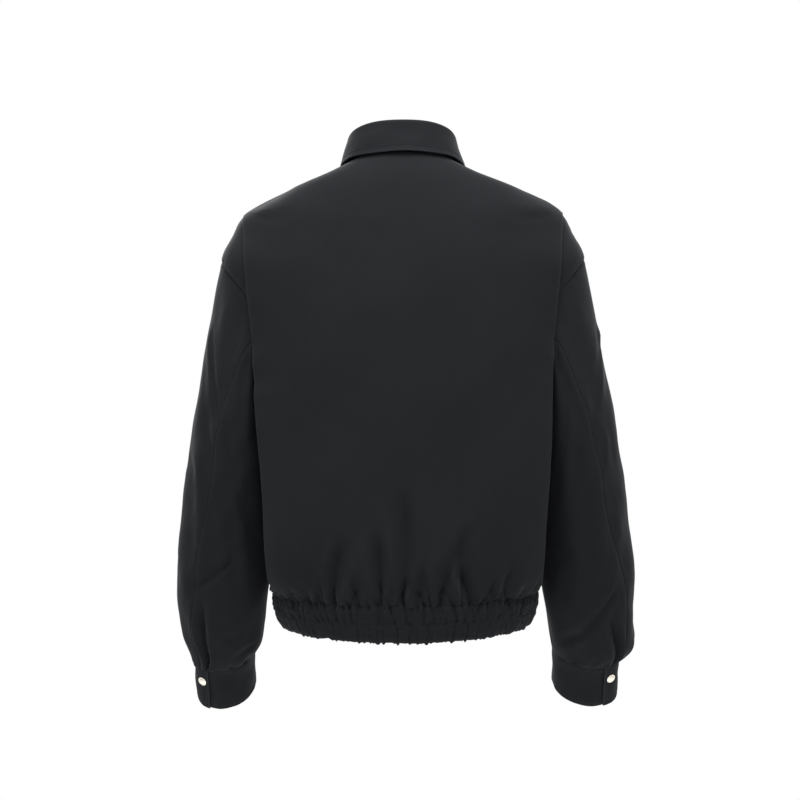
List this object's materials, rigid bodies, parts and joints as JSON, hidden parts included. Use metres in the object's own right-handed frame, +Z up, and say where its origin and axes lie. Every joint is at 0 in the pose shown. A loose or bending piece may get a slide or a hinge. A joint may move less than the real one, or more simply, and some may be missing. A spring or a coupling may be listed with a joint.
{
  "type": "bomber jacket, filled out with no wearer",
  "caption": "Hip-length blouson with turned-down collar, pleated back, zip front, snap-fastened cuffs and gathered elastic waistband, in hollow worn shape.",
  "frame": {"origin": "middle of the neck opening, level with the points where the shoulder seams meet the collar: where the wearer's shoulders and neck hold the jacket", "axes": "+Z up the wearer, +Y out of the back, +X to the wearer's left; the zip front faces -Y"},
  "size_m": [0.602, 0.2661, 0.763],
  "materials": {
    "cotton_twill": "matte black cotton twill",
    "zip_tape": "black woven tape",
    "black_metal": "black satin metal",
    "pale_metal": "pale polished metal"
  },
  "bodies": {
    "jacket": {"back": "cotton_twill", "side_back_left": "cotton_twill", "side_back_right": "cotton_twill", "front_left": "cotton_twill", "front_right": "cotton_twill", "sleeve_upper_left": "cotton_twill", "sleeve_upper_right": "cotton_twill", "sleeve_under_left": "cotton_twill", "sleeve_under_right": "cotton_twill", "collar": "cotton_twill", "cuff_left": "cotton_twill", "cuff_right": "cotton_twill", "waistband": "cotton_twill", "zip_tape_left": "zip_tape", "zip_tape_right": "zip_tape", "zip_chain": "black_metal", "zip_slider": "black_metal", "snap_left": "pale_metal", "snap_right": "pale_metal"},
    "pull": {"zip_pull": "black_metal"}
  },
  "joints": [
    {"name": "zip_pull_swing", "type": "hinge", "parent": "jacket", "child": "pull", "pos_m": [0, -0.09433, -0.08185], "axis": [-1, 0, 0], "range_deg": [0, 150]}
  ]
}
